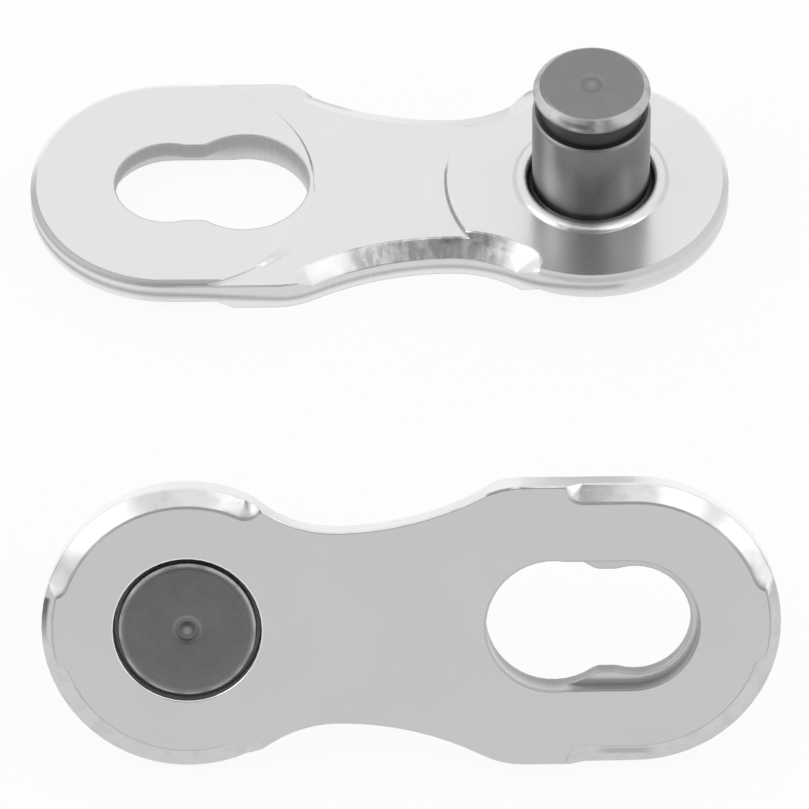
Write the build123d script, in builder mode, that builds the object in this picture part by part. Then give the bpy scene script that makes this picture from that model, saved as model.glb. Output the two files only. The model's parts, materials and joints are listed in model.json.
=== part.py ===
from build123d import *
import os
from math import asin, atan2, cos, degrees, hypot, radians, sin, sqrt

# A snap-together connecting link for a roller chain, in its two identical halves. Each half is
# a stamped plate with a turned pin pressed into one end. The pin's grooved tip hooks into the
# keyhole slot at the other end of the opposite half.
#
# Both pieces are modelled once, in the frame of one half: X runs along the plate from the pin
# to the slot, Z runs from the outer face (Z = 0) through the inner face and out along the pin.
# The two halves are then laid down side by side: the rear one flat on its outer face with its
# pin upright, the front one leaning on its pin with its outer face up.

# Chain size
pitch = 12.7  # from the pin's axis to the seat for the other half's pin
inner_gap = 3.0  # between the two inner faces once the halves are hooked together

# Plate outline
plate_thickness = 1.1
lobe_radius = 4.15
waist_half_width = 2.86
pin_side_arc = 3.5  # hollow flank from the pin lobe down to the waist
shoulder_arc = 2.5  # rounded shoulder where the other flank meets the slot lobe
flat_length = 3.2  # straight edge of the slot lobe, back from the seat

# Raised pads round both lobes on the inner face
pad_radius = 4.25
pad_inset = 0.12  # pad centres lie this far inward of the pin and of the seat
pad_height = 0.1

# Edges
waist_bevel_width = 0.58
waist_bevel_depth = 0.32
coin_width = 0.5  # coined chamfer round the lobes on the outer face
coin_depth = 0.31
coin_tip_width = 0.28  # narrower across the very ends of the plate
coin_tip_angle = 21.0  # either side of the long axis
coin_start_angle = 66.0  # on the pin lobe, from the long axis on the waist side
coin_run = 1.45  # along the straight edge of the slot lobe, back from the seat
inner_edge_round = 0.18

# Pin
shank_radius = 1.77
root_step = 0.16  # the root, pressed into the plate, is this much larger in radius
root_taper = 0.25  # from the end of the root up to the shank, below the inner face
shank_shoulder = 0.08  # small chamfer where the shank meets the groove
groove_radius = 1.56
groove_width = 0.74
flange_radius = 1.75
flange_thickness = 0.36
flange_chamfer_width = 0.28
flange_chamfer_depth = 0.27
head_radius = 1.965
head_thickness = 0.42
head_sink = 0.04  # head lies this far below the outer face
head_chamfer_width = 0.16
head_chamfer_depth = 0.08

# Centre mark left by turning, on both ends of the pin
mark_radius = 0.42
mark_ring_radius = 0.27
mark_dot_radius = 0.1
mark_depth = 0.06
mark_dot_depth = 0.01

# Raised ring round the root of the pin, on the inner face
ring_width = 0.37
ring_height = 0.13

# Clearances
seat_clearance = 0.04  # groove in the narrow end of the slot
neck_pinch = 0.08  # the neck is this much tighter than the seat, so the pin snaps past it
entry_clearance = 0.18  # flange through the wide end of the slot
recess_clearance = 0.15  # flange in the recess round the seat
recess_inset = 0.1  # the recess stops this far inward of the seat
ledge_clearance = 0.16  # ledge in the width of the groove
head_bore_clearance = 0.14

# Slot
entry_spacing = 2.3  # between the centres of the wide and the narrow end
neck_round = 0.5

# How the halves are laid down
side_shift = 0.8  # the front half lies this far to the right of the rear one
lay_spacing = 20.15  # between the lines of the two pins, measured on the outer faces

overshoot = 0.3  # how far a cutting tool reaches past the metal

# Sizes that follow
seat_radius = groove_radius + seat_clearance
neck_half_width = seat_radius - neck_pinch
entry_radius = flange_radius + entry_clearance
entry_place = pitch - entry_spacing
recess_radius = flange_radius + recess_clearance
recess_length = entry_spacing - recess_inset
ledge_thickness = groove_width - ledge_clearance
recess_depth = plate_thickness - ledge_thickness
head_bore_radius = head_radius + head_bore_clearance
head_seat = head_sink + head_thickness
root_radius = shank_radius + root_step
root_end = plate_thickness - root_taper
ring_outer_radius = root_radius + ring_width
waist_face = plate_thickness - pad_height

groove_start = plate_thickness + inner_gap
groove_end = groove_start + groove_width
pin_tip = groove_end + flange_thickness

# Outline of one side: the pin lobe, a hollow flank, the waist, a longer hollow flank and a
# shoulder, all tangent. Angles are measured about the centre of each arc.
waist_place = sqrt((lobe_radius + pin_side_arc) ** 2 - (waist_half_width + pin_side_arc) ** 2)
pin_side_height = waist_half_width + pin_side_arc
pin_side_turn = degrees(atan2(waist_place, pin_side_height))
shoulder_place = pitch - flat_length
flank_rise = lobe_radius - waist_half_width
flank_run = shoulder_place - waist_place
slot_side_arc = (flank_run**2 / flank_rise + flank_rise) / 2 - shoulder_arc
slot_side_height = waist_half_width + slot_side_arc
slot_side_turn = degrees(asin(flank_run / (slot_side_arc + shoulder_arc)))

# Where the ends of the slot meet its neck, as angles from the long axis
entry_turn = degrees(asin(neck_half_width / entry_radius))
seat_turn = degrees(asin(neck_half_width / seat_radius))

# Ends of the hollow flanks
flank_ends = (
    (lobe_radius * sin(radians(pin_side_turn)), lobe_radius * cos(radians(pin_side_turn))),
    (
        waist_place + slot_side_arc * sin(radians(slot_side_turn)),
        slot_side_height - slot_side_arc * cos(radians(slot_side_turn)),
    ),
)


def radial_plane(place, angle):
    """Upright plane that stands on the long axis at place and looks out along angle."""
    across = radians(angle)
    return Plane(
        origin=(place, 0, 0),
        x_dir=(cos(across), sin(across), 0),
        z_dir=(sin(across), -cos(across), 0),
    )


def wedge(plane, edge, width, depth, face, inward):
    """Section of a tool that takes an edge off: width along the face, depth down the wall."""
    slope = width / depth
    with BuildSketch(plane) as section:
        with BuildLine():
            Polyline(
                (edge, face + inward * depth),
                (edge - width - slope * overshoot, face - inward * overshoot),
                (edge + overshoot, face - inward * overshoot),
                (edge + overshoot, face + inward * depth),
                close=True,
            )
        make_face()
    return section.sketch


def lobe_point(place, angle):
    """Point on the rim of the lobe centred at place."""
    return place + lobe_radius * cos(radians(angle)), lobe_radius * sin(radians(angle))


# Tool for the bevels on both sides of the waist. Each bevel follows the hollow flanks and ends
# in part of a cone, so that it runs out rounded.
with BuildPart() as waist_tool:
    waist_plane = radial_plane(waist_place, 90)
    waist_wedge = wedge(
        waist_plane, waist_half_width, waist_bevel_width, waist_bevel_depth, waist_face, -1
    )
    revolve(waist_wedge, Axis((waist_place, pin_side_height, 0), (0, 0, 1)), -pin_side_turn)
    revolve(waist_wedge, Axis((waist_place, slot_side_height, 0), (0, 0, 1)), slot_side_turn)
    with Locations(*[(x, y, waist_face - waist_bevel_depth) for x, y in flank_ends]):
        Cone(
            0,
            waist_bevel_width * (1 + overshoot / waist_bevel_depth),
            waist_bevel_depth + overshoot,
            align=(Align.CENTER, Align.CENTER, Align.MIN),
        )
    mirror(about=Plane.XZ)

# Tool for the coined chamfer round both lobes, with the same rounded run-outs
with BuildPart() as coin_tool:
    coin_end = 180 - coin_tip_angle
    pin_wedge = wedge(
        radial_plane(0, coin_start_angle), lobe_radius, coin_width, coin_depth, 0, 1
    )
    revolve(pin_wedge, Axis.Z, coin_end - coin_start_angle)
    pin_tip_wedge = wedge(
        radial_plane(0, coin_end), lobe_radius, coin_tip_width, coin_depth, 0, 1
    )
    revolve(pin_tip_wedge, Axis.Z, 2 * coin_tip_angle)

    seat_axis = Axis((pitch, 0, 0), (0, 0, 1))
    slot_wedge = wedge(radial_plane(pitch, 90), lobe_radius, coin_width, coin_depth, 0, 1)
    extrude(slot_wedge, amount=-coin_run)
    revolve(slot_wedge, seat_axis, coin_tip_angle - 90)
    slot_tip_wedge = wedge(
        radial_plane(pitch, -coin_tip_angle), lobe_radius, coin_tip_width, coin_depth, 0, 1
    )
    revolve(slot_tip_wedge, seat_axis, 2 * coin_tip_angle)

    coin_ends = (
        lobe_point(0, coin_start_angle),
        lobe_point(0, coin_end),
        lobe_point(pitch, coin_tip_angle),
        (pitch - coin_run, lobe_radius),
    )
    with Locations(*[(x, y, -overshoot) for x, y in coin_ends]):
        Cone(
            coin_width * (1 + overshoot / coin_depth),
            0,
            coin_depth + overshoot,
            align=(Align.CENTER, Align.CENTER, Align.MIN),
        )
    mirror(about=Plane.XZ)

with BuildPart() as link_plate:
    # Blank
    with BuildSketch():
        with BuildLine():
            CenterArc((0, 0), lobe_radius, 90 - pin_side_turn, 90 + pin_side_turn)
            CenterArc(
                (waist_place, pin_side_height), pin_side_arc, 270 - pin_side_turn, pin_side_turn
            )
            CenterArc((waist_place, slot_side_height), slot_side_arc, 270, slot_side_turn)
            CenterArc(
                (shoulder_place, lobe_radius - shoulder_arc), shoulder_arc, 90, slot_side_turn
            )
            Line((shoulder_place, lobe_radius), (pitch, lobe_radius))
            CenterArc((pitch, 0), lobe_radius, 0, 90)
            mirror(about=Plane.XZ)
        make_face()
    extrude(amount=plate_thickness)
    fillet(link_plate.faces().sort_by(Axis.Z)[-1].edges(), inner_edge_round)

    # The waist stands lower than the round pads at both ends
    with BuildSketch(Plane.XY.offset(plate_thickness)):
        with Locations((pitch / 2, 0)):
            Rectangle(pitch - 2 * pad_inset, 2 * (lobe_radius + overshoot))
        with Locations((pad_inset, 0), (pitch - pad_inset, 0)):
            Circle(pad_radius, mode=Mode.SUBTRACT)
    extrude(amount=-pad_height, mode=Mode.SUBTRACT)

    # Bevels on both sides of the waist
    add(waist_tool.part, mode=Mode.SUBTRACT)

    # Coined chamfers on the outer face
    add(coin_tool.part, mode=Mode.SUBTRACT)

    # Keyhole slot: a wide entry and a narrow seat, with a tight neck between them
    with BuildSketch():
        with BuildLine():
            CenterArc((entry_place, 0), entry_radius, entry_turn, 180 - entry_turn)
            Line(
                (entry_place + entry_radius * cos(radians(entry_turn)), neck_half_width),
                (pitch - seat_radius * cos(radians(seat_turn)), neck_half_width),
            )
            CenterArc((pitch, 0), seat_radius, 0, 180 - seat_turn)
            mirror(about=Plane.XZ)
        slot_face = make_face()
        fillet(
            slot_face.vertices().filter_by_position(Axis.X, entry_place, pitch), neck_round
        )
    extrude(amount=plate_thickness, mode=Mode.SUBTRACT)

    # Recess for the other pin's flange, sunk into the outer face round the seat
    with BuildSketch():
        with Locations((entry_place + recess_length / 2, 0)):
            SlotCenterToCenter(recess_length, 2 * recess_radius)
    extrude(amount=recess_depth, mode=Mode.SUBTRACT)

    # Stepped bore: the head sits in the wide part and the root is pressed into the rest
    with BuildSketch():
        Circle(head_bore_radius)
    extrude(amount=head_seat, mode=Mode.SUBTRACT)
    with BuildSketch():
        Circle(root_radius)
    extrude(amount=plate_thickness, mode=Mode.SUBTRACT)

    # Raised ring round the bore. The root ends below it, which leaves a narrow tapering gap
    # between the ring and the shank.
    with BuildSketch(Plane.XZ):
        with BuildLine():
            Line((root_radius, plate_thickness), (ring_outer_radius, plate_thickness))
            ThreePointArc(
                (ring_outer_radius, plate_thickness),
                (root_radius + ring_width / 2, plate_thickness + ring_height),
                (root_radius, plate_thickness),
            )
        make_face()
    revolve(axis=Axis.Z)

with BuildPart() as link_pin:
    with BuildSketch(Plane.XZ):
        with BuildLine():
            Polyline(
                (0, head_sink + mark_dot_depth),
                (mark_dot_radius, head_sink + mark_dot_depth),
                (mark_ring_radius, head_sink + mark_depth),
                (mark_radius, head_sink),
                (head_radius - head_chamfer_width, head_sink),
                (head_radius, head_sink + head_chamfer_depth),
                (head_radius, head_seat),
                (root_radius, head_seat),
                (root_radius, root_end),
                (shank_radius, plate_thickness),
                (shank_radius, groove_start - shank_shoulder),
                (shank_radius - shank_shoulder, groove_start),
                (groove_radius, groove_start),
                (groove_radius, groove_end),
                (flange_radius, groove_end),
                (flange_radius, pin_tip - flange_chamfer_depth),
                (flange_radius - flange_chamfer_width, pin_tip),
                (mark_radius, pin_tip),
                (mark_ring_radius, pin_tip - mark_depth),
                (mark_dot_radius, pin_tip - mark_dot_depth),
                (0, pin_tip - mark_dot_depth),
                close=True,
            )
        make_face()
    revolve(axis=Axis.Z)

# The rear half lies on its outer face. The front half touches the ground with the rim of its
# flange and with the rounded edge of its plate, and the line through both touches sets its tilt.
flange_rim = (flange_radius, pin_tip - flange_chamfer_depth)
plate_edge = (lobe_radius - inner_edge_round, plate_thickness - inner_edge_round)
reach = hypot(flange_rim[0] - plate_edge[0], flange_rim[1] - plate_edge[1])
tilt = atan2(flange_rim[1] - plate_edge[1], plate_edge[0] - flange_rim[0])
tilt -= asin(inner_edge_round / reach)
print("front half leans at", round(degrees(tilt), 2), "degrees")

half_length = pitch / 2
rear_place = (lay_spacing + lobe_radius * (cos(tilt) - 1)) / 2
front_height = plate_edge[0] * sin(tilt) + plate_edge[1] * cos(tilt) + inner_edge_round
seats = {
    "rear": Plane(
        origin=(half_length - side_shift / 2, rear_place, 0),
        x_dir=(-1, 0, 0),
        z_dir=(0, 0, 1),
    ),
    "front": Plane(
        origin=(side_shift / 2 - half_length, rear_place - lay_spacing, front_height),
        x_dir=(1, 0, 0),
        z_dir=(0, sin(tilt), -cos(tilt)),
    ),
}

os.makedirs("parts", exist_ok=True)
for half, seat in seats.items():
    for name, model in (("plate", link_plate), ("pin", link_pin)):
        with BuildPart() as piece:
            with Locations(seat.location):
                add(model.part)
        piece.part.label = f"{half}_{name}"
        export_step(piece.part, f"parts/{piece.part.label}.step")
        print(piece.part.label, "volume", round(piece.part.volume, 3), "mm3")
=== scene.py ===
# %% [markdown]
# # A snap-together link for a cycle chain
#
# The link is two identical halves. Each half is a stamped, nickel-plated plate with a dark turned
# pin pressed into one end, and a keyhole slot for the other half's pin at the other end.
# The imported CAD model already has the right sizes, so it is loaded first, and everything below
# only dresses it: softer edges, turned pins, finishes, light and a camera.
# Lengths are in millimetres, unless a name or comment says metres.

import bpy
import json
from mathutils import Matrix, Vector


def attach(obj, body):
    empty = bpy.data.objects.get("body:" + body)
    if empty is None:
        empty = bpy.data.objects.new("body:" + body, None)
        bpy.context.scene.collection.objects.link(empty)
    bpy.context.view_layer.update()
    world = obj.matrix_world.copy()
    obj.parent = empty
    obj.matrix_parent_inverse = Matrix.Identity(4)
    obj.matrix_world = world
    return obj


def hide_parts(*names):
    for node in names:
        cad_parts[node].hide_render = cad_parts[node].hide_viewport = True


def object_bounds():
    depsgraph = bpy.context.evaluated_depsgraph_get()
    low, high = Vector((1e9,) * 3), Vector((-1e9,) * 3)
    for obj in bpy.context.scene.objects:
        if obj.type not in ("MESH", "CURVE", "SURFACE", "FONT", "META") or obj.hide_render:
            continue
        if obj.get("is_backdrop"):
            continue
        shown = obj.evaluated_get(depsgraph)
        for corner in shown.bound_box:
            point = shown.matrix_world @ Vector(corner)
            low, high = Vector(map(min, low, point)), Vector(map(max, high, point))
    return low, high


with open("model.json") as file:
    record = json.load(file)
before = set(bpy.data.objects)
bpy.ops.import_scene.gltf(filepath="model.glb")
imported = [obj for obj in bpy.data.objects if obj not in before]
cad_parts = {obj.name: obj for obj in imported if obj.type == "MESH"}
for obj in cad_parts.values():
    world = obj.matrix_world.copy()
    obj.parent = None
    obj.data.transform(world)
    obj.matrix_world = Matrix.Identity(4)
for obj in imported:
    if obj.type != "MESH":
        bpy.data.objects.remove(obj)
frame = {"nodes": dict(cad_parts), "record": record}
cad_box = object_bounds()
print("nodes:", sorted(frame["nodes"]))
print("model box in mm:", [[round(1000 * value, 3) for value in corner] for corner in cad_box])

# %% [markdown]
# ## Where the two halves sit
#
# Both halves have the same shape, so each piece is made once, in millimetres, in the frame of one
# half: X runs along the plate from the pin to the slot, and Z runs from the outer face along the
# pin. The rear half lies flat and the front half leans on its pin. The record's mounts say where
# each pin and slot is, which is enough to work out both placements.

# %% Work out both placements
import json
import math

import bmesh
import bpy
from mathutils import Matrix, Vector

MM = 0.001
shank_middle = 2.56  # from the outer face of a plate to the middle of its pin's free shank
mounts = {mount["name"]: mount for mount in frame["record"]["mounts"]}


def seat_of(half):
    """Matrix that takes a piece from its half's own frame, in mm, to its place, in metres."""
    shank, slot = mounts[f"{half}_shank"], mounts[f"{half}_slot"]
    out = Vector(shank["axis"]).normalized()
    origin = Vector(shank["pos_m"]) - out * shank_middle * MM
    along = Vector(slot["pos_m"]) - origin
    along = (along - along.dot(out) * out).normalized()
    turn = Matrix((along, out.cross(along), out)).transposed()
    return Matrix.Translation(origin) @ (turn * MM).to_4x4()


seats = {half: seat_of(half) for half in ("rear", "front")}
for half, seat in seats.items():
    print(half, "half starts at", [round(value / MM, 3) for value in seat.translation])

# %% [markdown]
# ## The plates
#
# A real plate is blanked, coined and tumbled, so none of its edges is perfectly sharp. Thin bright
# lines along the edges are what makes polished metal look solid. A Bevel modifier would round
# every edge, and it spoils the narrow faces where bevels run out. So a copy of the CAD mesh is
# welded, freed of the edges that only divide flat faces, and bevelled on chosen edges alone.

# %% Copy the CAD mesh into the half's own frame
weld_reach, sliver, flat_angle = 0.002, 0.003, math.radians(0.3)


def half_mesh(node, seat):
    """A welded copy of a CAD node in mm, with each corner's exact normal kept as a layer."""
    mesh = frame["nodes"][node].data.copy()
    normals = [0.0] * (3 * len(mesh.loops))
    mesh.corner_normals.foreach_get("vector", normals)
    kept = mesh.attributes.new("exact_normal", "FLOAT_VECTOR", "CORNER")
    kept.data.foreach_set("vector", normals)
    copy = bmesh.new()
    copy.from_mesh(mesh)
    bpy.data.meshes.remove(mesh)
    copy.transform(seat.inverted())
    level = seat.to_3x3().inverted() * MM
    layer = copy.loops.layers.float_vector["exact_normal"]
    for face in copy.faces:
        for loop in face.loops:
            loop[layer] = level @ loop[layer]
    bmesh.ops.remove_doubles(copy, verts=copy.verts, dist=weld_reach)
    bmesh.ops.dissolve_degenerate(copy, edges=copy.edges, dist=sliver)
    bmesh.ops.dissolve_limit(
        copy, angle_limit=flat_angle, verts=copy.verts, edges=copy.edges,
        use_dissolve_boundaries=False, delimit=set(),
    )
    return copy


plate = half_mesh("rear_plate", seats["rear"])
print("plate:", len(plate.verts), "vertices,", len(plate.faces), "faces")

# %% [markdown]
# Each end of the inner face stands 0.1 mm proud, as a round pad. Pressing leaves the step round
# the slot's pad steep on one side and draws it out to a gentle slope on the other, and it pushes
# the crest of the ring in towards the pin. Cutting the mesh anew would be a lot of work for such
# small moves, so single points are shifted, and the walls they carry get fresh normals.

# %% Find the walls of the slot's step and of the ring
inner_face, waist_face = 1.1, 1.0  # heights of the pads and of the waist between them
pad_centres, pad_radius = (0.12, 12.58), 4.25
slot_half, step_end = 6, 11.5  # along the plate, the step round the slot's pad lies between them


def is_step_wall(face):
    """True for the faces of the step round the slot's pad."""
    middle = face.calc_center_median()
    to_pad = math.hypot(middle.x - pad_centres[1], middle.y)
    return (
        slot_half < middle.x < step_end and waist_face + 0.01 < middle.z < inner_face - 0.01
        and abs(face.normal.z) < 0.5 and abs(to_pad - pad_radius) < 0.03
    )


step_walls = set(filter(is_step_wall, plate.faces))
ring_walls = {face for face in plate.faces if face.calc_center_median().z > inner_face + 0.005}
print(len(step_walls), "faces in the step of the slot pad,", len(ring_walls), "in the ring")

# %% Draw out the foot of the step and push in the ring's crest
ring_inner, ring_outer = 1.93, 2.3
foot_spread, crest_push = 0.24, 0.08


def ramp(value, start, end):
    """0 before start, 1 after end, and a smooth rise between them."""
    share = min(max((value - start) / (end - start), 0), 1)
    return share * share * (3 - 2 * share)


def refresh_normals(solid, walls):
    """Gives the corners of some faces the mean normal of those faces at each point."""
    layer = solid.loops.layers.float_vector["exact_normal"]
    for face in walls:
        face.normal_update()
    for vert in {vert for face in walls for vert in face.verts}:
        mean = sum((face.normal for face in vert.link_faces if face in walls), Vector())
        for loop in vert.link_loops:
            if loop.face in walls:
                loop[layer] = mean.normalized()


moved = 0
for vert in plate.verts:
    x, y, z = vert.co
    away, out = Vector((x - pad_centres[1], y, 0)), Vector((x, y, 0))
    in_foot = slot_half < x < step_end and abs(z - waist_face) < 0.01
    if in_foot and abs(away.length - pad_radius) < 0.02:
        spread = foot_spread * ramp(y, -0.2, 1.2) * (1 - ramp(y, 2.6, 3.9))
        vert.co += spread * away.normalized()
        moved += 1
    elif z > inner_face + 0.005:
        share = (out.length - ring_inner) / (ring_outer - ring_inner)
        vert.co -= crest_push * math.sin(math.pi * min(max(share, 0), 1)) * out.normalized()
        moved += 1
refresh_normals(plate, step_walls)
refresh_normals(plate, ring_walls)
print(moved, "points moved")

# %% [markdown]
# The edges to soften all lie level, at one of a few heights: the two faces, the foot of the coined
# chamfer, the floor of the recess, the head's seat and the foot of the waist bevel. An edge there
# is softened when its two faces meet at a clear angle. Three kinds stay crisp, because a bevel
# would only smear them: where the waist runs across the rounded rim, the foot of the ring, and the
# corner of the recess.

# %% Round the level edges a little
coin_foot, head_seat, recess_floor, bevel_foot = 0.31, 0.46, 0.52, 0.68
roundings = (  # size, and the heights where it applies
    (0.06, (0,)),
    (0.045, (coin_foot, head_seat, recess_floor, bevel_foot, waist_face, inner_face)),
)
level_reach, level_slack = 0.006, 0.004  # how near its height an edge has to be, and how level
clear_angle, step_angle = math.radians(25), math.radians(10)  # the least angle, and at the step


def wants_rounding(edge, heights):
    """True for a level edge at a known height whose faces meet at a clear angle."""
    in_step = bool(step_walls.intersection(edge.link_faces))
    if not edge.is_manifold or edge.calc_face_angle() < (step_angle if in_step else clear_angle):
        return False
    low, high = sorted(vert.co.z for vert in edge.verts)
    steepest = min(abs(face.normal.z) for face in edge.link_faces)
    across_rim = abs(low - waist_face) < level_reach and edge.is_convex and steepest < 0.6
    in_ring = math.hypot(*edge.verts[0].co.xy) < ring_outer + 0.1 and low > inner_face - 0.05
    in_recess = abs(low - recess_floor) < level_reach
    if across_rim or (not edge.is_convex and (in_ring or in_recess)):
        return False
    off_height = min(abs(low - height) for height in heights)
    return high - low < level_slack and off_height < level_reach


rounded = []
for size, heights in roundings:
    chosen = [edge for edge in plate.edges if wants_rounding(edge, heights)]
    fresh = bmesh.ops.bevel(
        plate, geom=chosen, affect="EDGES", offset=size, offset_type="OFFSET", segments=2,
        profile=0.5, clamp_overlap=False, loop_slide=False, miter_outer="SHARP", material=-1,
    )["faces"]
    rounded += fresh
    print(len(chosen), "edges at", heights, "rounded into", len(fresh), "faces")
print("plate:", len(plate.faces), "faces in all")

# %% [markdown]
# The old faces still know their exact normals, so cones and fillets shade as smoothly as in the
# CAD model. A rounded face takes the normals of the faces it borders, and in the middle of its
# arc the average of the faces around, so light rolls over each edge without a crease.

# %% Blend the normals over the rounded edges
def blend_normals(solid, fresh):
    """Writes into the normal layer of each fresh face the normals that its neighbours have."""
    layer = solid.loops.layers.float_vector["exact_normal"]
    fresh = set(fresh)
    solid.normal_update()
    for vert in {vert for face in fresh for vert in face.verts}:
        old = [loop for loop in vert.link_loops if loop.face not in fresh]
        around = sum((loop[layer].normalized() for loop in old), Vector()) if old else vert.normal
        for loop in vert.link_loops:
            if loop.face in fresh:
                near = [other for other in old if other[layer].dot(loop.face.normal) > 0.5]
                blend = sum((other[layer].normalized() for other in near), Vector())
                loop[layer] = (blend if near else around).normalized()


blend_normals(plate, rounded)
print("normals blended over", len(rounded), "rounded faces")

# %% [markdown]
# The finish differs from place to place: sheared walls are rougher than the rolled faces, and the
# waist bevel was pressed with a worn tool. Painting a mask by hand would be lost with the next
# mesh, so each face is asked where it lies and how it leans, and is marked with its zone.

# %% Tell which zone a face is in
slot_box = ((8.0, 15.0), (-2.3, 2.3))  # room round the keyhole slot, along and across the plate
bevel_reach = (1.6, 9.1)  # where the waist bevels start and end, along the plate
flat_lean, wall_lean = 0.9995, 0.3  # how far a normal points up or down on a flat face, on a wall
zone_names = ("wall", "slot_wall", "slot_edge", "waist", "step", "coined")


def zone_of(face):
    """Name of the zone a face is in, or None on the flat faces and round the pin."""
    middle, lean = face.calc_center_median(), face.normal.z
    to_pads = min(math.hypot(middle.x - centre, middle.y) for centre in pad_centres)
    if abs(lean) > flat_lean or math.hypot(middle.x, middle.y) < ring_outer + 0.3:
        return None
    reach = pad_radius + 0.07 + (foot_spread if middle.x > slot_half else 0)
    on_arc = pad_radius - 0.07 < to_pads < reach and middle.z > waist_face - 0.015
    if on_arc and 1.2 < middle.x < step_end:
        return "step"
    if all(low < value < high for value, (low, high) in zip(middle, slot_box)):
        return "slot_wall" if abs(lean) < wall_lean else "slot_edge"
    if lean < -wall_lean:
        return "coined"
    in_reach = bevel_reach[0] < middle.x < bevel_reach[1] and middle.z > bevel_foot - 0.02
    return "waist" if in_reach and lean > wall_lean else "wall"


def mark_zones(solid):
    """Adds a number per face for each zone, and counts the faces in each."""
    layers = {name: solid.faces.layers.float.new(name) for name in zone_names}
    counts = dict.fromkeys(zone_names, 0)
    for face in solid.faces:
        zone = zone_of(face)
        if zone:
            face[layers[zone]] = 1.0
            counts[zone] += 1
    return counts


print("faces in each zone:", mark_zones(plate))

# %% [markdown]
# A coined chamfer or a pressed bevel is made of several narrow faces, and each would catch the
# light on its own. The metal flowed under the press, so light flows over them too: every point
# gets the mean of the normals round it, and where a bevel runs out, the mean of its neighbours
# as well. The waist bevel also rolls over towards the wall, more at the pin's end.

# %% Average the normals of a pressed zone
run_outs = (  # where the bevels and the coined chamfers end, the same on both sides
    (2.31, 3.45), (8.34, 3.87), (1.69, 3.79), (-3.87, 1.49), (16.57, 1.49), (11.25, 4.15),
)
easing, easing_reach, easing_rounds = 0.6, (0.6, 0.9), 3  # smoothing near those places


def even_normals(pressed, layer):
    """Mean normal at each point of some faces, and smoother still where a bevel runs out."""
    normals, ease = {}, {}
    for vert in {vert for face in pressed for vert in face.verts}:
        loops = [loop for loop in vert.link_loops if loop.face in pressed]
        normals[vert] = sum((loop[layer] for loop in loops), Vector()).normalized()
        x, y, _ = vert.co
        to_end = min(math.hypot(x - end_x, abs(y) - end_y) for end_x, end_y in run_outs)
        ease[vert] = easing * (1 - ramp(to_end, *easing_reach))
    for _ in range(easing_rounds):
        around = {}
        for vert, normal in normals.items():
            others = [edge.other_vert(vert) for edge in vert.link_edges]
            around[vert] = sum((normals[other] for other in others if other in normals), normal)
        normals = {
            vert: normal.lerp(around[vert].normalized(), ease[vert]).normalized()
            for vert, normal in normals.items()
        }
    return normals


print(len(run_outs), "places where a bevel or a chamfer runs out, on either side")

# %% Write them into the two pressed zones
bevel_roll = (0.38, 0.06)  # how far the waist bevel rolls over towards the wall, end to end
roll_start, roll_length = 3.5, 4.5  # along the plate


def even_zone(solid, name):
    """Writes evened normals into the faces of one pressed zone."""
    zone = solid.faces.layers.float[name]
    layer = solid.loops.layers.float_vector["exact_normal"]
    pressed = {face for face in solid.faces if face[zone]}
    evened = even_normals(pressed, layer)
    for vert, even in evened.items():
        if name == "waist":
            share = min(max((vert.co.x - roll_start) / roll_length, 0), 1)
            roll = bevel_roll[0] * (1 - share) + bevel_roll[1] * share
            even = (even + roll * Vector((even.x, even.y, 0))).normalized()
        for loop in vert.link_loops:
            if loop.face in pressed:
                loop[layer] = even
    return len(evened)


print("points evened:", {name: even_zone(plate, name) for name in ("waist", "coined")})

# %% [markdown]
# Each half takes its own copy of the finished mesh. Its points keep their place in the half as an
# attribute, so that the finishes below lie the same way on both, and the copy is moved as a mesh,
# which leaves the object itself at the origin.

# %% Place a finished mesh on both halves
def place_on_halves(solid, name):
    """Makes one object per half from a bmesh in the half's frame, in place of the CAD node."""
    made = []
    for half, seat in seats.items():
        mesh = bpy.data.meshes.new(f"{half}_{name}_dressed")
        solid.to_mesh(mesh)
        inside = mesh.attributes.new("in_half", "FLOAT_VECTOR", "POINT")
        inside.data.foreach_set("vector", [value for vert in mesh.vertices for value in vert.co])
        turn = seat.to_3x3() * (1 / MM)
        exact = mesh.attributes.get("exact_normal")
        normals = [turn @ item.vector for item in exact.data] if exact else []
        mesh.transform(seat)
        mesh.polygons.foreach_set("use_smooth", [True] * len(mesh.polygons))
        if normals:
            mesh.attributes.remove(exact)
            mesh.normals_split_custom_set(normals)
        piece = bpy.data.objects.new(mesh.name, mesh)
        bpy.context.scene.collection.objects.link(piece)
        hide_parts(f"{half}_{name}")
        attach(piece, "root")
        made.append(piece)
    return made


plates = place_on_halves(plate, "plate")
plate.free()
print("plates:", [piece.name for piece in plates])

# %% [markdown]
# ## The pins
#
# A pin is turned on a lathe, so a lathe is how it is made here too: half of its section is drawn
# as a line of points and spun round Z. Bevelling the finished solid would round every corner
# alike, so the corners are rounded before the spin, by bevelling the points of the section, each
# by its own amount.

# %% Draw the section and spin it
section = (  # radius, height, rounding
    (0, 0.05, 0), (0.1, 0.05, 0.02), (0.27, 0.1, 0.03), (0.42, 0.04, 0.04),
    (1.805, 0.04, 0.03), (1.965, 0.12, 0.03), (1.965, 0.46, 0.03), (1.93, 0.46, 0),
    (1.93, 0.85, 0), (1.77, 1.1, 0.03), (1.77, 4.02, 0.03), (1.69, 4.1, 0.02),
    (1.56, 4.1, 0), (1.56, 4.84, 0), (1.75, 4.84, 0.03), (1.75, 4.93, 0.04),
    (1.47, 5.2, 0.04), (0.42, 5.2, 0.04), (0.27, 5.14, 0.03), (0.1, 5.19, 0.02), (0, 5.19, 0),
)
spin_steps, seam_reach = 128, 0.0002


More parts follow.
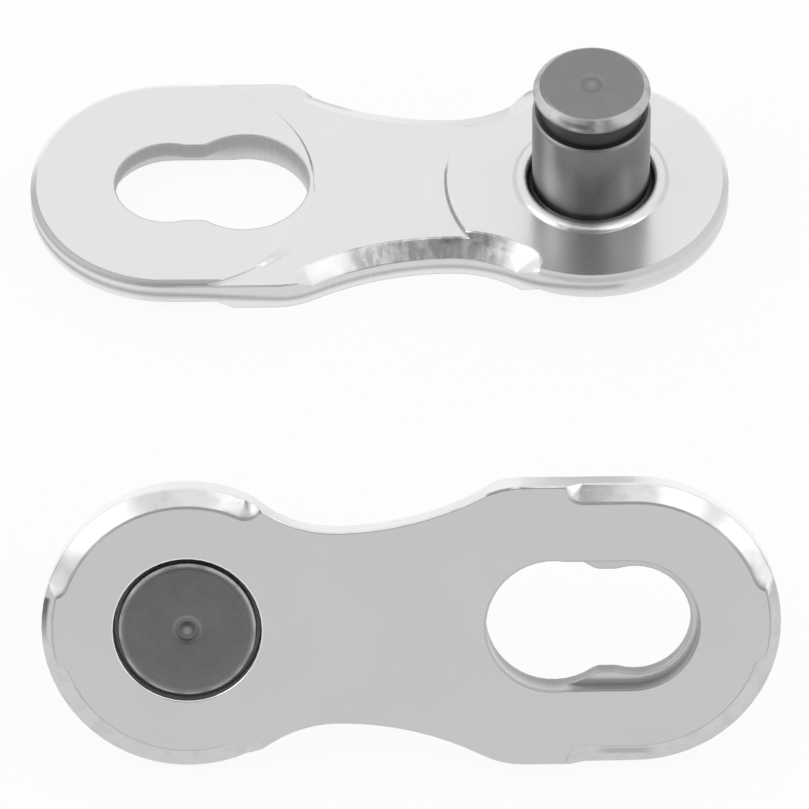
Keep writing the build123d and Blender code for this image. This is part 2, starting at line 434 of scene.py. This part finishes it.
def lathe(points, steps):
    """Solid of revolution round Z from a section of (radius, height, rounding) points."""
    turned = bmesh.new()
    corners = [turned.verts.new((radius, 0, height)) for radius, height, _ in points]
    for start, end in zip(corners, corners[1:]):
        turned.edges.new((start, end))
    for corner, (_, _, rounding) in zip(corners, points):
        if rounding:
            bmesh.ops.bevel(
                turned, geom=[corner], affect="VERTICES", offset=rounding, offset_type="OFFSET",
                segments=4, profile=0.5, material=-1,
            )
    bmesh.ops.spin(
        turned, geom=turned.verts[:] + turned.edges[:], cent=(0, 0, 0), axis=(0, 0, 1),
        angle=2 * math.pi, steps=steps, use_merge=True,
    )
    bmesh.ops.remove_doubles(turned, verts=turned.verts, dist=seam_reach)
    bmesh.ops.recalc_face_normals(turned, faces=turned.faces)
    return turned


pin = lathe(section, spin_steps)
open_edges = sum(not edge.is_manifold for edge in pin.edges)
print("pin:", len(pin.verts), "vertices,", len(pin.faces), "faces,", open_edges, "open edges")

# %% [markdown]
# A weighted normal modifier gives the wide faces the say over the narrow rounded ones, so the ends
# stay flat to the eye and only the corners turn.

# %% Place the pins
pins = place_on_halves(pin, "pin")
pin.free()
for piece in pins:
    piece.data.set_sharp_from_angle(angle=math.radians(60))
    weighted = piece.modifiers.new("flat_faces", "WEIGHTED_NORMAL")
    weighted.mode, weighted.keep_sharp, weighted.weight = "FACE_AREA", True, 50
print("pins:", [piece.name for piece in pins])

# %% [markdown]
# ## Tools for the finishes
#
# A finish is arithmetic on patterns, and it reads best as arithmetic. A small class wraps one
# output of a shader node, so that an expression such as `1 - mask` adds its own Math node.

# %% Arithmetic on shader values
class Wire:
    """One output of a shader node. Python operators on it add Math nodes."""

    def __init__(self, finish, socket):
        self.finish, self.socket = finish, socket

    def math(self, operation, *values):
        return self.finish.node(
            "ShaderNodeMath", {"operation": operation}, dict(enumerate(values))
        )

    def __add__(self, other):
        return self.math("ADD", self, other)

    def __sub__(self, other):
        return self.math("SUBTRACT", self, other)

    def __rsub__(self, other):
        return self.math("SUBTRACT", other, self)

    def __mul__(self, other):
        return self.math("MULTIPLY", self, other)

    def __pow__(self, other):
        return self.math("POWER", self, other)

    __radd__, __rmul__ = __add__, __mul__

    def at_least(self, low):
        return self.math("MAXIMUM", self, low)

    def fade(self, start, end):
        """0 before start, 1 after end, and a smooth rise between them."""
        return self.finish.node(
            "ShaderNodeMapRange", {"interpolation_type": "SMOOTHSTEP"},
            {"Value": self, "From Min": start, "From Max": end}, "Result",
        )

    def band(self, start, end, soft):
        """1 between start and end, with soft borders."""
        return self.fade(start - soft, start + soft) * (1 - self.fade(end - soft, end + soft))


print("Wire is ready")

# %% [markdown]
# The other class keeps one node tree. Its `node` method makes any node from its type, its settings
# and the values or wires of its inputs, so the rest of the script says only what differs.

# %% Build node trees
class Finish:
    """The node tree of a material or of the world, built one node at a time."""

    def __init__(self, owner):
        owner.use_nodes = True
        self.owner, self.tree = owner, owner.node_tree
        self.tree.nodes.clear()

    def node(self, kind, settings=(), inputs=(), output=0):
        made = self.tree.nodes.new(kind)
        for name, value in dict(settings).items():
            setattr(made, name, value)
        for name, value in dict(inputs).items():
            if isinstance(value, Wire):
                self.tree.links.new(value.socket, made.inputs[name])
            else:
                made.inputs[name].default_value = value
        return Wire(self, made.outputs[output] if made.outputs else None)

    def split(self, vector):
        """The three numbers of a vector."""
        parts = self.node("ShaderNodeSeparateXYZ", {}, {0: vector}).socket.node
        return [Wire(self, socket) for socket in parts.outputs]

    def scaled(self, vector, factors):
        return self.node("ShaderNodeVectorMath", {"operation": "MULTIPLY"}, {0: vector, 1: factors})

    def grey(self, value):
        return self.node("ShaderNodeCombineColor", {}, {0: value, 1: value, 2: value})


print("Finish is ready")

# %% [markdown]
# Bare metal is a shade of grey, a roughness and a fine relief, all three drawn from where a point
# lies on its piece. A finish of this kind gets short methods for that place and for noise in
# three shapes: clouds, streaks along one direction, and lines or rings.

# %% Add what bare metal needs
class Metal(Finish):
    """The node tree of a bare metal, with patterns that follow the place in the half."""

    def place(self):
        """Where a point lies in its half, in mm."""
        return self.node("ShaderNodeAttribute", {"attribute_name": "in_half"}, {}, "Vector")

    def from_axis(self, place):
        """How far a place is from the pin's axis."""
        return self.node(
            "ShaderNodeVectorMath", {"operation": "LENGTH"}, {0: self.scaled(place, (1, 1, 0))},
            "Value",
        )

    def mark(self, name):
        """The number that a mesh keeps under this name."""
        return self.node("ShaderNodeAttribute", {"attribute_name": name}, {}, "Fac")

    def noise(self, vector, scale, detail=2.0):
        return self.node(
            "ShaderNodeTexNoise", {}, {"Vector": vector, "Scale": scale, "Detail": detail}, "Fac"
        )

    def lines(self, value, scale, detail):
        """Noise along one number only, which draws lines or rings across it."""
        return self.node(
            "ShaderNodeTexNoise", {"noise_dimensions": "1D"},
            {"W": value, "Scale": scale, "Detail": detail},
        )

    def bump(self, height, distance, normal=None):
        """Tilts the normal as a surface with this height, which distance scales, in metres."""
        inputs = {"Height": height, "Distance": distance}
        if normal:
            inputs["Normal"] = normal
        return self.node("ShaderNodeBump", {}, inputs)

    def put_on(self, pieces, color, purity, roughness, normal):
        """Ends the finish as bare metal, and puts it on the pieces."""
        shader = self.node(
            "ShaderNodeBsdfPrincipled", {},
            {"Base Color": color, "Metallic": purity, "Roughness": roughness, "Normal": normal},
        )
        self.node("ShaderNodeOutputMaterial", {}, {"Surface": shader})
        for piece in pieces:
            piece.data.materials.clear()
            piece.data.materials.append(self.owner)


print("Metal is ready")

# %% [markdown]
# ## Satin nickel for the plates
#
# Nickel plate over rolled steel is pale, a little milky, and mirrors soft shapes only. Up close
# the rolled faces have a fine grain and a few hairline scratches. The sheared walls carry drag
# lines from the punch, which run through the thickness, and the waist bevel is pressed with a worn
# tool that leaves streaks down its slope. An image could hold all this, but noise that is
# stretched along the marks stays sharp from any distance.

# %% Draw the patterns of the nickel
nickel = Metal(bpy.data.materials.new("satin_nickel"))
place = nickel.place()
x, y, z = nickel.split(place)
from_pin = nickel.from_axis(place)
wall, slot_wall, slot_edge, waist, step, coined = (nickel.mark(name) for name in zone_names)
near_side = y.fade(-1.5, 0.5)
in_slot_half = x.fade(slot_half, slot_half + 0.1)

clouds = nickel.noise(place, 0.35, 3)
grain = nickel.noise(place, 11, 3)
blotches = nickel.noise(place, 2.2, 3)
hair = nickel.noise(nickel.scaled(place, (0.7, 16, 16)), 1.0, 2).fade(0.62, 0.7)
drag_lines = nickel.noise(nickel.scaled(place, (13, 13, 1.1)), 1.0, 3)
streaks = nickel.noise(nickel.scaled(place, (3.6, 1.8, 1.8)), 1.0, 3).fade(0.3, 0.7)
print("patterns:", len(nickel.tree.nodes), "nodes")

# %% [markdown]
# Marks of making and wear, and painted shade and reflection, lie on top of the patterns. Each is a
# mask, 1 where the mark is and 0 elsewhere, with soft borders. Round the pin they are painted
# shade in the gap round its head, the dull bore of the ring, a painted reflection of the dark pin
# on the middle of the ring's front, and painted shade on the ring's outer foot at its sides.

# %% Mark the places round the pin
# Painted shade on the walls of the gap round the head.
in_gap = (1 - from_pin.fade(2.08, 2.1)) * (1 - z.fade(0.47, 0.5))
on_ring = (1 - from_pin.fade(2.28, 2.34)) * z.fade(1.09, 1.11)
ring_bore = on_ring * (1 - from_pin.fade(2.06, 2.14))
# Painted reflection of the dark pin on the middle of the ring's front.
ring_front_reflection = on_ring * y.fade(1.7, 2.0) * x.band(-0.2, 0.75, 0.25)
# Painted shade on the ring's outer foot, at its sides.
ring_foot_shade = from_pin.band(2.22, 2.36, 0.05) * z.fade(1.09, 1.1) * (1 - y.fade(0.9, 1.5))
ring_foot_shade = ring_foot_shade * (x * x).fade(2.0, 3.6)
print("with the pin's surroundings:", len(nickel.tree.nodes), "nodes")

# %% [markdown]
# A punch shears the upper part of a wall cleanly and tears the rest, so a darker torn band runs
# along it. It climbs and falls with the wear of the punch. The near walls also get painted shade:
# they are darker above their foot and away from the slot's end, and away from the pin their
# rounded rim is painted darker to hold back its highlight. The slot's walls and edges get painted
# shade, deeper towards the top of the walls, and so do the corner of the slot's recess and parts
# of the steps round the two pads, as shade falls in sharp inner corners. Where the slot's step is
# gentle, a little painted shade lies over its highlight.

# %% Mark the sheared walls, the slot and the steps
near_wall = wall * near_side
# The rounded rim on top of the near walls; away from the pin its tone gets painted shade that holds
# back its highlight.
rim = near_wall * z.fade(0.9, 0.98)
torn_height = z - x.fade(8, 13.5) * 0.3 - (1 - x.fade(0.3, 3.5)) * 0.4
torn = torn_height.band(0.26, 0.44, 0.1) * x.fade(-1.2, -0.5)
# The torn band and the drag lines, with painted shade on the upper part of the near walls.
near_shade = torn * 0.36 + drag_lines * 0.08 + z.fade(0.4, 0.6) * 0.08
# Painted shade in the slot, deeper towards the top of its walls, with drag lines.
slot_shade = 0.2 + z.fade(0.05, 0.8) * 0.32 + drag_lines * 0.1

seat_end = 12.6  # up to here, along the plate, the sides of the slot's narrow seat run straight
past_seat = (x - seat_end).at_least(0.0)
to_seat_line = (past_seat * past_seat + y * y) ** 0.5
# Painted shade in the corner of the slot's recess, on its near side.
corner = (slot_wall + slot_edge) * to_seat_line.fade(1.58, 1.84) * (1 - z.fade(0.5, 0.56))
corner = corner * near_side * x.fade(10.7, 11.0)

# Painted shade in the steps of the two pads, and a little over the highlight where the slot's step
# is gentle.
steep_step = step * in_slot_half * (1 - y.fade(-0.9, -0.1)) * y.fade(-3.2, -1.5)
soft_step = step * in_slot_half * y.fade(2.5, 3.1)
pin_step = step * (1 - in_slot_half) * y.fade(-0.9, -0.3)
print("with the walls and steps:", len(nickel.tree.nodes), "nodes")

# %% [markdown]
# The pressed parts are scored and knocked: streaks on the near side of the waist bevel, a dent at
# its top, and scuffs on the far flank of the coined chamfers. Painted shade darkens the near side
# of the waist bevel all over, more towards the slot, and a darker patch lies where the far bevel
# runs out. The coined chamfers get painted shade, as they reflect the shaded floor, except along
# the far side, with more of it in a band on the slot's lobe, and a dark reflection is painted
# along the chamfer at the tip of the pin's lobe.

# %% Mark the pressed bevels and the coined chamfers
scored = waist * near_side * x.band(2.6, 7.35, 0.45)
# The streaks, and painted shade over the whole scored band, more towards the slot.
streaks_and_shade = streaks * 0.32 + x.fade(5.4, 5.9) * 0.1 + 0.07
dented = waist * near_side * x.band(2.4, 4.8, 0.4) * z.fade(0.88, 0.95) * blotches.fade(0.3, 0.6)
far_edge = waist * (1 - near_side) * x.band(7.2, 8.6, 0.3) * (1 - z.fade(0.72, 0.86))
# Painted shade on the coined chamfers, which reflect the shaded floor, except along the far side.
coin_shade = coined * y.fade(-2.6, -2.0)
# Painted dark reflection along the chamfer at the tip of the pin's lobe.
tip_dark_reflection = coined * (1 - x.fade(-3.8, -3.6)) * y.fade(-1.0, -0.9) * (1 - y.fade(-0.7, 0.6))
tip_dark_reflection = tip_dark_reflection * from_pin.fade(3.94, 4.04)
flank_scuff = coined * x.band(8.3, 9.7, 0.3) * (1 - near_side) * blotches.fade(0.35, 0.5)
# Painted shade in a band of the coined chamfer on the near side of the slot's lobe.
low_coin_shade = coined * x.band(11.7, 13.1, 0.35) * y.band(3.66, 3.86, 0.06)
print("with the pressed parts:", len(nickel.tree.nodes), "nodes")

# %% [markdown]
# The tone starts pale, and painted light makes the walls paler still, except the upper part of
# the near walls. Every mark then takes its share off it, and the painted shade and painted
# reflection among them are named where they are marked. Roughness follows the same masks, because
# sheared and pressed metal is duller than the rolled faces. The bump is a dozen micrometres deep at
# most: it breaks up the mirror without drawing a shape of its own. One tenth of the shader isn't
# metallic, which gives the nickel its milky look.

# %% Mix the tone of the nickel
def darkened(tone, shades):
    """A tone with every mask of (mask, strength) taken off it, one after the other."""
    for mask, strength in shades:
        tone = tone * (1 - mask * strength)
    return tone


tone = 0.90 + (clouds - 0.5) * 0.05 + (grain - 0.5) * 0.03
# Painted light: the walls are paler, except the upper part of the near walls.
tone = tone + wall * 0.1 * (1 - near_side * z.fade(0.25, 0.4))
tone = darkened(tone, (
    # Painted shade on the near walls, with their torn band and drag lines.
    (near_wall, near_shade), (near_wall, (1 - x.fade(13, 14)) * 0.1),
    # Painted shade in the slot, on its edges and in the corner of its recess.
    (slot_wall, slot_shade), (slot_edge, 0.35), (corner, 0.35),
    # The near bevel's streaks with painted shade over them, its dent, and a darker patch on the far
    # bevel.
    (scored * streaks_and_shade + dented * 0.3, 1.0), (far_edge, 0.25),
    # Painted shade on the rim, a painted reflection of the pin on the ring's front, painted shade
    # on the ring's foot.
    (rim * x.fade(1.5, 3.5), 0.3), (ring_front_reflection, 0.35), (ring_foot_shade, 0.16),
    # Random blotches on the coins, painted shade on them, and a painted dark reflection at the tip.
    (coined * blotches.fade(0.4, 0.7), 0.08), (coin_shade, 0.3), (tip_dark_reflection, 0.75),
    # Scuffs on the far flank, painted shade on the low coin and in the gap round the head.
    (flank_scuff, 0.5), (low_coin_shade, 0.28), (in_gap, 0.6),
    # Painted shade in the steps of the pads.
    (steep_step * 0.55 + pin_step * 0.5 + soft_step * 0.1, 1.0),
))
print("with the tone:", len(nickel.tree.nodes), "nodes")

# %% Add roughness and relief, and put the nickel on
roughness = 0.2 + (clouds - 0.5) * 0.06 + hair * 0.05 + in_gap * 0.4 + ring_bore * 0.25
roughness = roughness + wall * 0.14 + (slot_wall + slot_edge) * 0.2
roughness = roughness + waist * (0.12 - scored * 0.06) + rim * 0.25

relief = nickel.bump(grain, 0.8e-6)
relief = nickel.bump(clouds, 12e-6, relief)
scores = drag_lines * (near_wall + slot_wall) + streaks * scored
relief = nickel.bump(scores, 4e-6, relief)
nickel.put_on(plates, nickel.grey(tone), 0.9, roughness, relief)
print("nickel finish:", len(nickel.tree.nodes), "nodes")

# %% [markdown]
# ## Dark turned steel for the pins
#
# The pins are hardened, which leaves a dark grey skin. The ends are faced on a lathe, so their
# marks are rings round the axis, and the shank is ground, with fine lines round it. Noise along
# one number draws both: along the distance from the axis it gives rings, along the height lines.

# %% Draw the patterns of the steel
steel = Metal(bpy.data.materials.new("dark_turned_steel"))
place = steel.place()
x, y, z = steel.split(place)
from_axis = steel.from_axis(place)
speckle = steel.noise(place, 9, 3)
mottle = steel.noise(place, 1.6, 3)
patchy = mottle.fade(0.4, 0.62)
rings = steel.lines(from_axis, 16.0, 2.0)
lines = steel.lines(z, 22.0, 3.0)
at_end = 1 - z.band(0.09, 5.15, 0.01)
at_tip = z.fade(2, 3)
print("patterns:", len(steel.tree.nodes), "nodes")

# %% [markdown]
# Where an edge has rubbed, bare steel shows: on the wide chamfer of the flange, which also took a
# knock, at the rims of both ends, and at the shoulder above the shank. The groove, the foot of the
# shank and the shank's low sides get painted shade, and the root of the pin by the gap gets painted
# light. The small turned mark on each end has a dark ring and a pale dot.

# %% Mark the worn edges, and the painted light and shade on the pin
chamfer = (from_axis - x * x * 0.035).fade(1.455, 1.485) * (1 - from_axis.fade(1.73, 1.76))
chamfer = chamfer * z.fade(4.92, 4.95)
knock = chamfer * from_axis.band(1.6, 1.7, 0.03) * x.band(0.15, 0.95, 0.2) * y.fade(0, 0.5)
tip_edge = z.band(4.89, 4.94, 0.015) * from_axis.fade(1.7, 1.72)
shoulder = z.band(4.03, 4.09, 0.015) * from_axis.fade(1.66, 1.7)
head_edge = from_axis.band(1.87, 1.95, 0.015) * (1 - z.fade(0.12, 0.14))
worn = chamfer * (0.7 + patchy * 0.7) * (1 - knock * 0.8)
worn = worn + tip_edge * patchy * 0.8 + shoulder * 0.35 + head_edge * (0.3 + patchy * 0.8)

shank = z.band(1.0, 4.0, 0.05)
# Painted light on the root of the pin, by the gap round it.
root = z.band(0.87, 1.12, 0.02)
groove = z.band(4.1, 4.87, 0.01) * (1 - from_axis.fade(1.755, 1.76))
# Painted shade on the part inside the plate's hole and just above the plate.
deep = z.band(0.17, 0.86, 0.02) * 0.6 + z.band(1.15, 1.7, 0.25) * 0.3
# Painted shade on the low sides of the shank, over their highlight.
low_sides = (x * x).fade(0.2, 1.0) * (1 - z.fade(1.5, 2.8))
mark_depth = at_end * (1 - at_tip * 0.75)
mark_ring = from_axis.band(0.14, 0.34, 0.04) * mark_depth
mark_dot = (1 - from_axis.fade(0.06, 0.14)) * mark_depth
print("with the wear:", len(steel.tree.nodes), "nodes")

# %% [markdown]
# The steel starts dark, and worn metal adds to it. Painted light makes the lower shank a little
# paler than its upper part and the root of the pin paler, and painted shade takes tone off the
# groove, the foot of the shank, one side of the shank and its low sides. It is fully metallic, with
# no coat over it, because a hardening skin is far too thin to look like paint.

# %% Mix the steel finish and put it on
tone = 0.22 + (mottle - 0.5) * 0.05 + (speckle - 0.5) * 0.04
# Painted light and shade: the lower shank a little paler, its upper part darker.
tone = tone + shank * (0.035 - z.fade(1.6, 3.4) * 0.07) + at_end * at_tip * 0.06
# Worn edges and the turned dot, and painted light on the pin's root.
tone = tone + worn * 0.28 + mark_dot * 0.12 + root * 0.24
tone = darkened(tone, (
    # Painted shade in the groove and at the foot of the shank, and the turned mark's dark ring.
    (groove, 0.68), (deep.fade(0, 1), 0.6), (mark_ring, 0.35),
    # Painted shade on one side of the shank and on its low sides.
    (shank, x.fade(1.3, 1.5) * 0.18 + low_sides * 0.22),
))
roughness = 0.3 + (mottle - 0.5) * 0.1 + at_end * 0.05 + groove * 0.2 + worn * 0.15
relief = steel.bump(rings * at_end + lines * (1 - at_end), 1.2e-6)
relief = steel.bump(speckle, 1e-6, relief)
steel.put_on(pins, steel.grey(tone), 1.0, roughness, relief)
print("steel finish:", len(steel.tree.nodes), "nodes")

# %% [markdown]
# ## The floor
#
# The floor is a plain white sheet. A matt sheet alone would turn grey away from the lamps, and
# more light would bleach the metal. So to the camera and in reflections most of its colour is an
# even white, and the rest is matt paint that keeps a faint shadow under each half.

# %% Lay the floor
floor_size, floor_drop = 3.0, 0.02 * MM  # in metres; a hair below the halves
sheet = bmesh.new()
bmesh.ops.create_grid(sheet, x_segments=1, y_segments=1, size=floor_size)
bmesh.ops.translate(sheet, verts=sheet.verts, vec=(0, 0, -floor_drop))
floor_mesh = bpy.data.meshes.new("floor")
sheet.to_mesh(floor_mesh)
sheet.free()
floor = bpy.data.objects.new("floor", floor_mesh)
bpy.context.scene.collection.objects.link(floor)
floor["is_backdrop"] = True

paint = Finish(bpy.data.materials.new("white_floor"))
path = paint.node("ShaderNodeLightPath").socket.node
by_camera, by_gloss, by_glass = (
    Wire(paint, path.outputs[f"Is {kind} Ray"]) for kind in ("Camera", "Glossy", "Transmission")
)
evenness = by_camera * 0.92 + (by_gloss + by_glass) * 0.8
matt = paint.node("ShaderNodeBsdfDiffuse", {}, {"Color": (0.9, 0.9, 0.9, 1)})
even = paint.node("ShaderNodeEmission", {}, {"Color": (1, 1, 1, 1), "Strength": 1.0})
mixed = paint.node("ShaderNodeMixShader", {}, {0: evenness, 1: matt, 2: even})
paint.node("ShaderNodeOutputMaterial", {}, {"Surface": mixed})
floor_mesh.materials.append(paint.owner)
print("floor is", 2 * floor_size, "m wide")

# %% [markdown]
# ## Light
#
# Bare metal shows its surroundings, so the surroundings are the light: a pale studio, darker in
# front, with a dark spot where a camera would stand, and a bright patch overhead that lights the
# crest of the ring. An empty white room would leave the metal flat, without that falling off.

# %% Paint the studio
def direction(turn, rise):
    """Unit vector, turn degrees from +Y towards +X and rise degrees above the floor."""
    turn, rise = math.radians(turn), math.radians(rise)
    return Vector(
        (math.sin(turn) * math.cos(rise), math.cos(turn) * math.cos(rise), math.sin(rise))
    )


bpy.context.scene.world = bpy.data.worlds.new("studio")
studio = Finish(bpy.context.scene.world)
look = studio.node("ShaderNodeTexCoord", {}, {}, "Generated")


def towards(turn, rise, wide, narrow):
    """1 within narrow degrees of a direction, 0 beyond wide degrees."""
    near = studio.node(
        "ShaderNodeVectorMath", {"operation": "DOT_PRODUCT"}, {0: look, 1: direction(turn, rise)},
        "Value",
    )
    return near.fade(math.cos(math.radians(wide)), math.cos(math.radians(narrow)))


level = 0.86 - towards(180, 40, 55, 20) * 0.3  # darker in front
level = level * (1 - towards(180, 47, 27, 17) * 0.5)  # the camera's own dark spot
level = level + towards(0, 90, 19, 12) * 0.25  # the patch overhead
backdrop = studio.node("ShaderNodeBackground", {}, {"Color": studio.grey(level), "Strength": 1.0})
studio.node("ShaderNodeOutputWorld", {}, {"Surface": backdrop})
print("studio:", len(studio.tree.nodes), "nodes")

# %% [markdown]
# Four soft boxes, two on each side, put the light bands on the pins and the bright ends on the
# pressed bevels. Point lamps would only make small hard glints on metal. Each box faces the object
# from one metre away, and its power follows from how bright it should look.

# %% Hang the soft boxes
def soft_box(name, turn, rise, width, height, radiance, away=1.0):
    """Rectangular lamp, in metres, that faces the object from a direction."""
    lamp = bpy.data.lights.new(name, "AREA")
    lamp.shape, lamp.size, lamp.size_y = "RECTANGLE", width, height
    lamp.energy = radiance * math.pi * width * height
    holder = bpy.data.objects.new(name, lamp)
    holder.location = direction(turn, rise) * away
    holder.rotation_mode = "QUATERNION"
    holder.rotation_quaternion = direction(turn, rise).to_track_quat("Z", "Y")
    bpy.context.scene.collection.objects.link(holder)
    return holder


soft_box("left_box", 246, 44, 0.4, 0.7, 0.45)
soft_box("left_strip", 269, 46, 0.45, 0.5, 1.3)
soft_box("right_box", 112, 28, 0.25, 0.58, 0.8)
soft_box("right_high_box", 119, 63, 0.36, 0.32, 0.8)

# %% [markdown]
# ## Camera
#
# The camera looks down at 48 degrees from in front, square to the plates, from 0.27 m away. It is
# built from its own directions, ahead, right and above, which is plainer than three angles.

# %% Set up the camera
image_size, focal_pixels = 809, 9121
camera_rise, camera_roll = math.radians(48.326), -0.01096
camera_away, camera_side, camera_up = 0.268877, 0.2688 * MM, 0.7638 * MM  # in metres

ahead = -direction(180, math.degrees(camera_rise))
upright = Vector((0, math.sin(camera_rise), math.cos(camera_rise)))
right = math.cos(camera_roll) * Vector((1, 0, 0)) + math.sin(camera_roll) * upright
above = -math.sin(camera_roll) * Vector((1, 0, 0)) + math.cos(camera_roll) * upright
camera = bpy.data.objects.new("camera", bpy.data.cameras.new("camera"))
stand = -camera_away * ahead + camera_side * right + camera_up * above
camera.matrix_world = Matrix.Translation(stand) @ Matrix(
    (right, above, -ahead)
).transposed().to_4x4()
camera.data.sensor_width = 36
camera.data.lens = focal_pixels / image_size * camera.data.sensor_width
camera.data.clip_start, camera.data.clip_end = 0.01, 10
bpy.context.scene.collection.objects.link(camera)
bpy.context.scene.camera = camera
bpy.context.scene.view_settings.view_transform = "Standard"
print("camera at", [round(value, 4) for value in stand])

# %% [markdown]
# ## The two boxes
#
# The CAD model's box and the dressed model's box are printed side by side. The dressed model has
# to stay in the CAD model's box.

# %% Print both boxes
boxes = {"cad": cad_box, "visual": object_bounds()}
for name, box in boxes.items():
    print(name, [[round(value / MM, 4) for value in corner] for corner in box])
